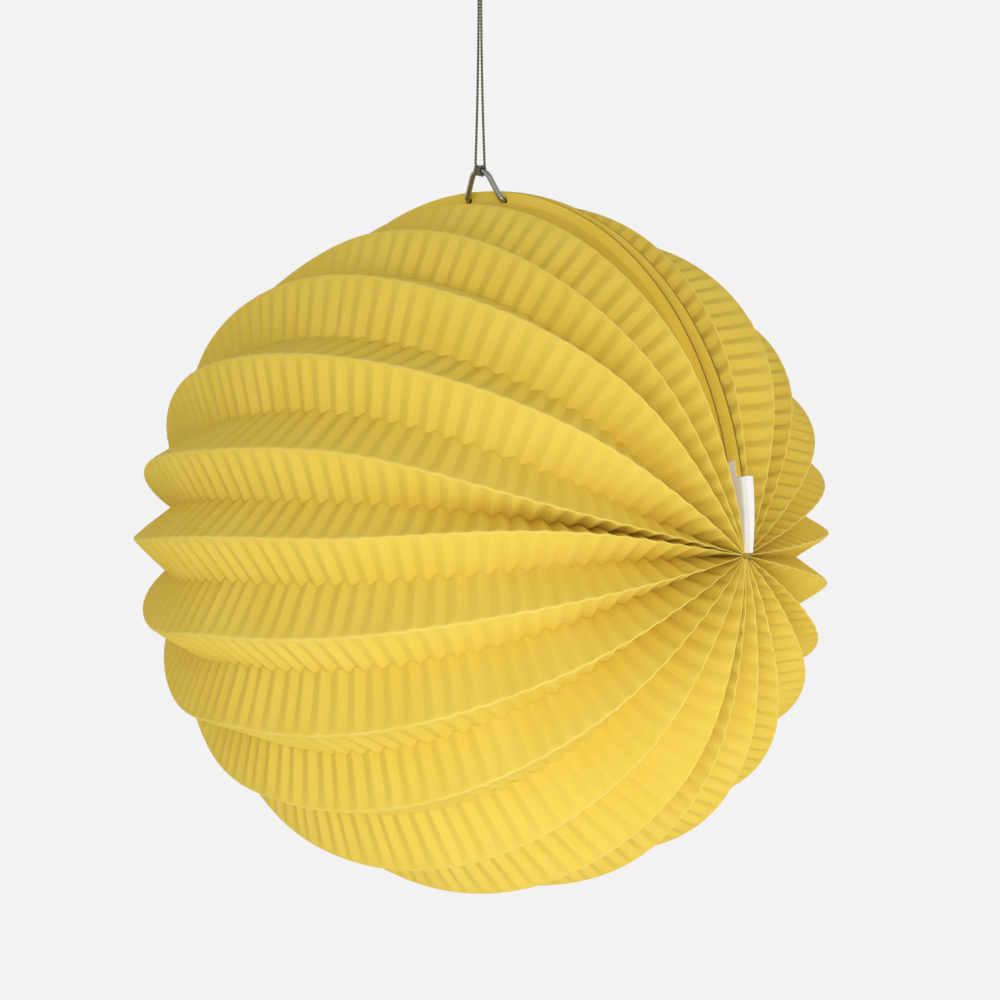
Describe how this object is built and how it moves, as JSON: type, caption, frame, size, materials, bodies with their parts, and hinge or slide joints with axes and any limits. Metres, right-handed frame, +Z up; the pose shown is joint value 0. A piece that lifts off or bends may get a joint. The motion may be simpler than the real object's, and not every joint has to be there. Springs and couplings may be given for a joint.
{
  "type": "paper lantern",
  "caption": "Round folding paper lantern: a ball of crimped yellow paper pleats between two card boards that a wire bail hooks together, hung by a doubled thread.",
  "frame": {"origin": "inner top of the thread's hanging loop, where a hook holds the lantern", "axes": "+Z up along the thread, X along the level axis that the pleats turn about, -Y the front"},
  "size_m": [0.2016, 0.1997, 0.275],
  "materials": {
    "yellow_paper": "matte",
    "yellow_card": "matte",
    "white_tape": "matte",
    "steel_wire": "polished",
    "stitch_thread": "matte",
    "dark_thread": "matte"
  },
  "bodies": {
    "hanger": {"hanging_loop": "dark_thread", "thread_knot": "dark_thread"},
    "thread": {"thread_left": "dark_thread", "thread_right": "dark_thread", "thread_hitch": "dark_thread"},
    "front_half": {"front_board": "yellow_card", "end_leaf_front": "yellow_paper", "wire_bail": "steel_wire", "pole_stitch_right": "stitch_thread", "pole_stitch_left": "stitch_thread"},
    "pleat_01": {"pleat_01": "yellow_paper"},
    "pleat_02": {"pleat_02": "yellow_paper"},
    "pleat_03": {"pleat_03": "yellow_paper"},
    "pleat_04": {"pleat_04": "yellow_paper"},
    "pleat_05": {"pleat_05": "yellow_paper"},
    "pleat_06": {"pleat_06": "yellow_paper"},
    "pleat_07": {"pleat_07": "yellow_paper"},
    "pleat_08": {"pleat_08": "yellow_paper"},
    "pleat_09": {"pleat_09": "yellow_paper"},
    "pleat_10": {"pleat_10": "yellow_paper"},
    "pleat_11": {"pleat_11": "yellow_paper"},
    "pleat_12": {"pleat_12": "yellow_paper"},
    "pleat_13": {"pleat_13": "yellow_paper"},
    "pleat_14": {"pleat_14": "yellow_paper"},
    "pleat_15": {"pleat_15": "yellow_paper"},
    "pleat_16": {"pleat_16": "yellow_paper"},
    "pleat_17": {"pleat_17": "yellow_paper"},
    "pleat_18": {"pleat_18": "yellow_paper"},
    "pleat_19": {"pleat_19": "yellow_paper"},
    "pleat_20": {"pleat_20": "yellow_paper"},
    "pleat_21": {"pleat_21": "yellow_paper"},
    "pleat_22": {"pleat_22": "yellow_paper"},
    "pleat_23": {"pleat_23": "yellow_paper"},
    "back_half": {"back_board": "yellow_card", "end_leaf_back": "yellow_paper", "pole_tape_right": "white_tape", "pole_tape_left": "white_tape"}
  },
  "joints": [
    {"name": "turn", "type": "hinge", "parent": "hanger", "child": "thread", "pos_m": [0, 0, -0.0124], "axis": [0, 0, 1], "range_deg": [-180, 180]},
    {"name": "swing", "type": "hinge", "parent": "thread", "child": "front_half", "pos_m": [0, 0, -0.06718], "axis": [1, 0, 0], "range_deg": [-60, 60]},
    {"name": "fold", "type": "hinge", "parent": "front_half", "child": "pleat_11", "pos_m": [0.002, -0.00194, -0.175], "axis": [1, 0, 0], "range_deg": [-177.82, 0], "deforming": ["pleat_01", "pleat_02", "pleat_03", "pleat_04", "pleat_05", "pleat_06", "pleat_07", "pleat_08", "pleat_09", "pleat_10", "pleat_11", "pleat_12", "pleat_13", "pleat_14", "pleat_15", "pleat_16", "pleat_17", "pleat_18", "pleat_19", "pleat_20", "pleat_21", "pleat_22", "pleat_23", "end_leaf_front", "end_leaf_back"]},
    {"name": "fold_01", "type": "hinge", "parent": "front_half", "child": "pleat_01", "pos_m": [0.002, -0.00194, -0.175], "axis": [1, 0, 0], "range_deg": [-18.6, 0.5]},
    {"name": "fold_02", "type": "hinge", "parent": "front_half", "child": "pleat_02", "pos_m": [0.002, -0.00194, -0.175], "axis": [1, 0, 0], "range_deg": [-33.12, 0.5]},
    {"name": "fold_03", "type": "hinge", "parent": "front_half", "child": "pleat_03", "pos_m": [0.002, -0.00194, -0.175], "axis": [1, 0, 0], "range_deg": [-48.61, 0.5]},
    {"name": "fold_04", "type": "hinge", "parent": "front_half", "child": "pleat_04", "pos_m": [0.002, -0.00194, -0.175], "axis": [1, 0, 0], "range_deg": [-65.07, 0.5]},
    {"name": "fold_05", "type": "hinge", "parent": "front_half", "child": "pleat_05", "pos_m": [0.002, -0.00194, -0.175], "axis": [1, 0, 0], "range_deg": [-80.55, 0.5]},
    {"name": "fold_06", "type": "hinge", "parent": "front_half", "child": "pleat_06", "pos_m": [0.002, -0.00194, -0.175], "axis": [1, 0, 0], "range_deg": [-95.56, 0.5]},
    {"name": "fold_07", "type": "hinge", "parent": "front_half", "child": "pleat_07", "pos_m": [0.002, -0.00194, -0.175], "axis": [1, 0, 0], "range_deg": [-111.53, 0.5]},
    {"name": "fold_08", "type": "hinge", "parent": "front_half", "child": "pleat_08", "pos_m": [0.002, -0.00194, -0.175], "axis": [1, 0, 0], "range_deg": [-127.99, 0.5]},
    {"name": "fold_09", "type": "hinge", "parent": "front_half", "child": "pleat_09", "pos_m": [0.002, -0.00194, -0.175], "axis": [1, 0, 0], "range_deg": [-144.93, 0.5]},
    {"name": "fold_10", "type": "hinge", "parent": "front_half", "child": "pleat_10", "pos_m": [0.002, -0.00194, -0.175], "axis": [1, 0, 0], "range_deg": [-162.35, 0.5]},
    {"name": "fold_12", "type": "hinge", "parent": "pleat_11", "child": "pleat_12", "pos_m": [0.002, -0.00194, -0.175], "axis": [1, 0, 0], "range_deg": [-15.99, 0.5]},
    {"name": "fold_13", "type": "hinge", "parent": "pleat_11", "child": "pleat_13", "pos_m": [0.002, -0.00194, -0.175], "axis": [1, 0, 0], "range_deg": [-30.99, 0.5]},
    {"name": "fold_14", "type": "hinge", "parent": "pleat_11", "child": "pleat_14", "pos_m": [0.002, -0.00194, -0.175], "axis": [1, 0, 0], "range_deg": [-45.03, 0.5]},
    {"name": "fold_15", "type": "hinge", "parent": "pleat_11", "child": "pleat_15", "pos_m": [0.002, -0.00194, -0.175], "axis": [1, 0, 0], "range_deg": [-58.58, 0.5]},
    {"name": "fold_16", "type": "hinge", "parent": "pleat_11", "child": "pleat_16", "pos_m": [0.002, -0.00194, -0.175], "axis": [1, 0, 0], "range_deg": [-71.16, 0.5]},
    {"name": "fold_17", "type": "hinge", "parent": "pleat_11", "child": "pleat_17", "pos_m": [0.002, -0.00194, -0.175], "axis": [1, 0, 0], "range_deg": [-83.75, 0.5]},
    {"name": "fold_18", "type": "hinge", "parent": "pleat_11", "child": "pleat_18", "pos_m": [0.002, -0.00194, -0.175], "axis": [1, 0, 0], "range_deg": [-96.33, 0.5]},
    {"name": "fold_19", "type": "hinge", "parent": "pleat_11", "child": "pleat_19", "pos_m": [0.002, -0.00194, -0.175], "axis": [1, 0, 0], "range_deg": [-109.4, 0.5]},
    {"name": "fold_20", "type": "hinge", "parent": "pleat_11", "child": "pleat_20", "pos_m": [0.002, -0.00194, -0.175], "axis": [1, 0, 0], "range_deg": [-123.44, 0.5]},
    {"name": "fold_21", "type": "hinge", "parent": "pleat_11", "child": "pleat_21", "pos_m": [0.002, -0.00194, -0.175], "axis": [1, 0, 0], "range_deg": [-138.44, 0.5]},
    {"name": "fold_22", "type": "hinge", "parent": "pleat_11", "child": "pleat_22", "pos_m": [0.002, -0.00194, -0.175], "axis": [1, 0, 0], "range_deg": [-154.41, 0.5]},
    {"name": "fold_23", "type": "hinge", "parent": "pleat_11", "child": "pleat_23", "pos_m": [0.002, -0.00194, -0.175], "axis": [1, 0, 0], "range_deg": [-166.42, 0.5]},
    {"name": "fold_back", "type": "hinge", "parent": "pleat_11", "child": "back_half", "pos_m": [0.002, -0.00194, -0.175], "axis": [1, 0, 0], "range_deg": [-170.19, 0.5]}
  ],
  "couplings": [
    {"joint": "fold_01", "follows": "fold", "ratio": 0.1018},
    {"joint": "fold_02", "follows": "fold", "ratio": 0.18345},
    {"joint": "fold_03", "follows": "fold", "ratio": 0.27055},
    {"joint": "fold_04", "follows": "fold", "ratio": 0.36309},
    {"joint": "fold_05", "follows": "fold", "ratio": 0.45019},
    {"joint": "fold_06", "follows": "fold", "ratio": 0.53457},
    {"joint": "fold_07", "follows": "fold", "ratio": 0.62439},
    {"joint": "fold_08", "follows": "fold", "ratio": 0.71693},
    {"joint": "fold_09", "follows": "fold", "ratio": 0.81219},
    {"joint": "fold_10", "follows": "fold", "ratio": 0.91018},
    {"joint": "fold_12", "follows": "fold", "ratio": 0.0871},
    {"joint": "fold_13", "follows": "fold", "ratio": 0.17148},
    {"joint": "fold_14", "follows": "fold", "ratio": 0.25041},
    {"joint": "fold_15", "follows": "fold", "ratio": 0.32662},
    {"joint": "fold_16", "follows": "fold", "ratio": 0.39739},
    {"joint": "fold_17", "follows": "fold", "ratio": 0.46815},
    {"joint": "fold_18", "follows": "fold", "ratio": 0.53892},
    {"joint": "fold_19", "follows": "fold", "ratio": 0.61241},
    {"joint": "fold_20", "follows": "fold", "ratio": 0.69134},
    {"joint": "fold_21", "follows": "fold", "ratio": 0.77572},
    {"joint": "fold_22", "follows": "fold", "ratio": 0.86554},
    {"joint": "fold_23", "follows": "fold", "ratio": 0.93304},
    {"joint": "fold_back", "follows": "fold", "ratio": 0.95427}
  ]
}
